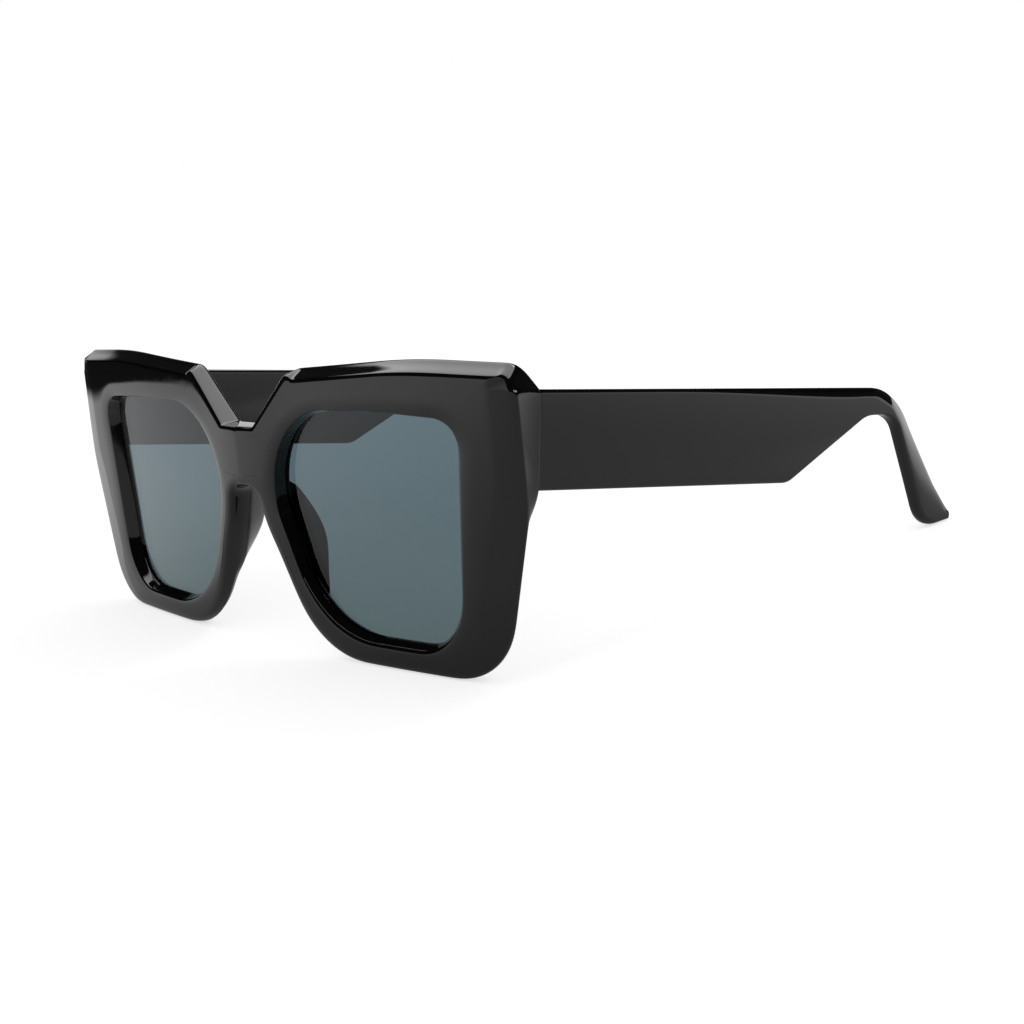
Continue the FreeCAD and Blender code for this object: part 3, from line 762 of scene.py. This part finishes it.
for side in ("left", "right"):
    for node, material in (("front_hinge", leafSteel), ("temple_hinge", leafSteel), ("hinge_screw", screwSteel),
                           ("front_hinge_screws", screwSteel), ("temple_hinge_screws", screwSteel),
                           ("temple_core", coreSteel)):
        mesh = frame["nodes"][side + "_" + node].data
        mesh.materials.clear()
        mesh.materials.append(material)
print("hinges dressed")


studio = {
    "floorSize": 12.0, "floorGrey": 0.8, "floorRoughness": 0.9, "cameraGlow": 0.66, "worldFill": 0.5,
    # painted reflection on the floor, seen by gloss rays only: painted light brightest to the left, and in front
    # past its edge a painted dark room
    "tableEdge": (-0.54, -0.47), "tableFront": (0.0, 0.1), "paintedBright": 1.05, "paintedDim": 0.5,
    "brightToDim": (-0.25, 0.05),
    # painted light again, lighter at the rear and beside the hooks: how much, and from where to where
    "paintedRearLift": 0.5, "rearY": (0.12, 0.32), "paintedHookLift": 0.55, "hookY": (0.09, 0.16), "hookX": (0.125, 0.165),
    # round it a low backdrop at the left, a softbox overhead and a dark room, by direction
    "backdrop": 1.05, "backdropX": (-0.70, -0.60), "backdropY": (-0.05, 0.08), "backdropZ": (0.28, 0.38),
    "overhead": 3.5, "overheadZ": (0.61, 0.66), "overheadY": (-0.3, -0.15), "room": 0.02, "roomZ": (0.12, 0.3),
    "lamp": {"place": (0.196, 0.569, 0.669), "aim": (0, 0, 0.04), "size": 0.16, "power": 0.5},
}


def rayKinds(nodes, links):   # rays that show the background, that show it in gloss, that pass a lens
    path = nodes.new("ShaderNodeLightPath")
    seen = nodes.new("ShaderNodeMath")
    seen.operation = "MAXIMUM"
    links.new(path.outputs["Is Camera Ray"], seen.inputs[0])
    links.new(path.outputs["Is Transmission Ray"], seen.inputs[1])
    mirrored = nodes.new("ShaderNodeMath")   # a ray through the lens counts as glossy too, and is left out
    mirrored.operation = "GREATER_THAN"
    links.new(path.outputs["Is Glossy Ray"], mirrored.inputs[0])
    links.new(path.outputs["Is Transmission Ray"], mirrored.inputs[1])
    return seen.outputs[0], mirrored.outputs[0], path.outputs["Is Transmission Ray"]


def ramp(nodes, links, source, low, high, lowValue, highValue):
    step = nodes.new("ShaderNodeMapRange")
    step.interpolation_type = "SMOOTHSTEP"
    for name, value in (("From Min", low), ("From Max", high), ("To Min", lowValue), ("To Max", highValue)):
        step.inputs[name].default_value = value
    links.new(source, step.inputs["Value"])
    return step.outputs["Result"]


def combine(nodes, links, operation, a, b):
    node = nodes.new("ShaderNodeMath")
    node.operation = operation
    for socket, value in zip(node.inputs, (a, b)):
        if isinstance(value, float):
            socket.default_value = value
        else:
            links.new(value, socket)
    return node.outputs[0]


def buildFloor():
    deselect()
    bpy.ops.mesh.primitive_plane_add(size=studio["floorSize"])
    floor = bpy.context.object
    floor.name = "floor"
    material, nodes, links, shader = newMaterial("paleFloor")
    shader.inputs["Base Color"].default_value = (studio["floorGrey"],) * 3 + (1,)
    shader.inputs["Roughness"].default_value = studio["floorRoughness"]
    shader.inputs["Specular IOR Level"].default_value = 0.0
    seen, gloss = rayKinds(nodes, links)[:2]
    place = nodes.new("ShaderNodeTexCoord")
    axes = nodes.new("ShaderNodeSeparateXYZ")
    links.new(place.outputs["Object"], axes.inputs["Vector"])
    lit = studio["floorGrey"] * studio["worldFill"]
    x, y = axes.outputs["X"], axes.outputs["Y"]
    # painted light: gloss rays see the floor glow brighter to the left, at the rear and beside the hooks, set by
    # place on the floor and given by no lamp
    across = ramp(nodes, links, x, *studio["brightToDim"], studio["paintedBright"], studio["paintedDim"])
    rear = ramp(nodes, links, y, *studio["rearY"], 0.0, studio["paintedRearLift"])
    hook = combine(nodes, links, "MULTIPLY", ramp(nodes, links, y, *studio["hookY"], 0.0, studio["paintedHookLift"]),
                   ramp(nodes, links, x, *studio["hookX"], 1.0, 0.0))
    lift = combine(nodes, links, "ADD", across, combine(nodes, links, "MAXIMUM", rear, hook))
    paintedLevel = combine(nodes, links, "MINIMUM", lift, studio["paintedBright"])
    paintedGlossLight = combine(nodes, links, "SUBTRACT", paintedLevel, lit)
    glow = nodes.new("ShaderNodeEmission")
    seenGlow = combine(nodes, links, "MULTIPLY", seen, studio["cameraGlow"])
    glossGlow = combine(nodes, links, "MULTIPLY", gloss, paintedGlossLight)
    links.new(combine(nodes, links, "ADD", seenGlow, glossGlow), glow.inputs["Strength"])
    table = nodes.new("ShaderNodeAddShader")
    links.new(shader.outputs[0], table.inputs[0])
    links.new(glow.outputs[0], table.inputs[1])
    # painted shade: in front and to the left, past the table's edge, gloss rays see a dark glow in place of the lit
    # floor
    room = nodes.new("ShaderNodeEmission")
    room.inputs["Strength"].default_value = studio["room"]
    paintedDarkZone = combine(nodes, links, "MULTIPLY", ramp(nodes, links, x, *studio["tableEdge"], 1.0, 0.0),
                   ramp(nodes, links, y, *studio["tableFront"], 1.0, 0.0))
    blend = nodes.new("ShaderNodeMixShader")
    links.new(combine(nodes, links, "MULTIPLY", gloss, paintedDarkZone), blend.inputs["Fac"])
    links.new(table.outputs[0], blend.inputs[1])
    links.new(room.outputs[0], blend.inputs[2])
    links.new(blend.outputs[0], nodes["Material Output"].inputs["Surface"])
    floor.data.materials.append(material)


def buildLight():
    world = bpy.data.worlds.new("whiteStudio")
    bpy.context.scene.world = world
    world.use_nodes = True
    nodes, links = world.node_tree.nodes, world.node_tree.links
    background = nodes["Background"]
    background.inputs["Color"].default_value = (1, 1, 1, 1)
    seen, gloss, through = rayKinds(nodes, links)
    place = nodes.new("ShaderNodeTexCoord")
    axes = nodes.new("ShaderNodeSeparateXYZ")
    links.new(place.outputs["Generated"], axes.inputs["Vector"])
    x, y, z = axes.outputs["X"], axes.outputs["Y"], axes.outputs["Z"]
    leftward = ramp(nodes, links, x, *studio["backdropX"], studio["backdrop"], studio["room"])
    rearward = ramp(nodes, links, y, *studio["backdropY"], 0.0, 1.0)
    low = ramp(nodes, links, z, *studio["backdropZ"], 1.0, studio["room"])
    high = ramp(nodes, links, z, *studio["overheadZ"], 0.0, studio["overhead"])
    backHalf = ramp(nodes, links, y, *studio["overheadY"], 0.0, 1.0)
    backdrop = combine(nodes, links, "MULTIPLY", combine(nodes, links, "MULTIPLY", leftward, rearward), low)
    overhead = combine(nodes, links, "MULTIPLY", high, backHalf)
    inGloss = combine(nodes, links, "MAXIMUM", backdrop, overhead)
    plain = ramp(nodes, links, seen, 0.0, 1.0, studio["worldFill"], 1.0)
    lensView = nodes.new("ShaderNodeMix")   # high up, a ray through the lens meets the dark room
    links.new(through, lensView.inputs["Factor"])
    links.new(plain, lensView.inputs["A"])
    links.new(ramp(nodes, links, z, *studio["roomZ"], 1.0, studio["room"]), lensView.inputs["B"])
    pick = nodes.new("ShaderNodeMix")
    links.new(gloss, pick.inputs["Factor"])
    links.new(lensView.outputs["Result"], pick.inputs["A"])
    links.new(inGloss, pick.inputs["B"])
    links.new(pick.outputs["Result"], background.inputs["Strength"])
    box = studio["lamp"]
    bpy.ops.object.light_add(type="AREA", location=box["place"])
    lamp = bpy.context.object
    lamp.name = "backSoftbox"
    lamp.data.shape = "SQUARE"
    lamp.data.size = box["size"]
    lamp.data.energy = box["power"]
    lamp.rotation_euler = (Vector(box["aim"]) - lamp.location).to_track_quat("-Z", "Y").to_euler()


buildFloor()
buildLight()

photoView = {
    "azimuth": 49.40, "elevation": 5.86, "roll": 1.14, "distance": 383.0, "aim": (0, 40.0, 0),   # as worn
    "focalPixels": 1704.9, "centreX": 396.9, "centreY": 516.0, "frame": 1024, "sensor": 36.0, "nearest": 0.01,
}


def buildCamera():
    view = photoView
    turn, lift, roll = [math.radians(view[key]) for key in ("azimuth", "elevation", "roll")]
    back = Vector((math.sin(turn) * math.cos(lift), -math.cos(turn) * math.cos(lift), math.sin(lift)))
    across = Vector((math.cos(turn), math.sin(turn), 0))
    up = back.cross(across)
    right = across * math.cos(roll) + up * math.sin(roll)
    upright = up * math.cos(roll) - across * math.sin(roll)
    place = back * view["distance"] + Vector(view["aim"])
    lens = bpy.data.cameras.new("photoCamera")
    lens.sensor_width = view["sensor"]
    lens.lens = view["focalPixels"] / view["frame"] * lens.sensor_width
    lens.shift_x = (view["frame"] / 2 - view["centreX"]) / view["frame"]
    lens.shift_y = (view["centreY"] - view["frame"] / 2) / view["frame"]
    lens.clip_start = view["nearest"]
    camera = bpy.data.objects.new("photoCamera", lens)
    bpy.context.collection.objects.link(camera)
    axes = Matrix((right, upright, back)).transposed()
    camera.matrix_world = Matrix.Translation(stand(*place)) @ (standTurn @ axes).to_4x4()
    bpy.context.scene.camera = camera


buildCamera()
bpy.context.scene.view_settings.view_transform = "Standard"
print("studio and camera set")
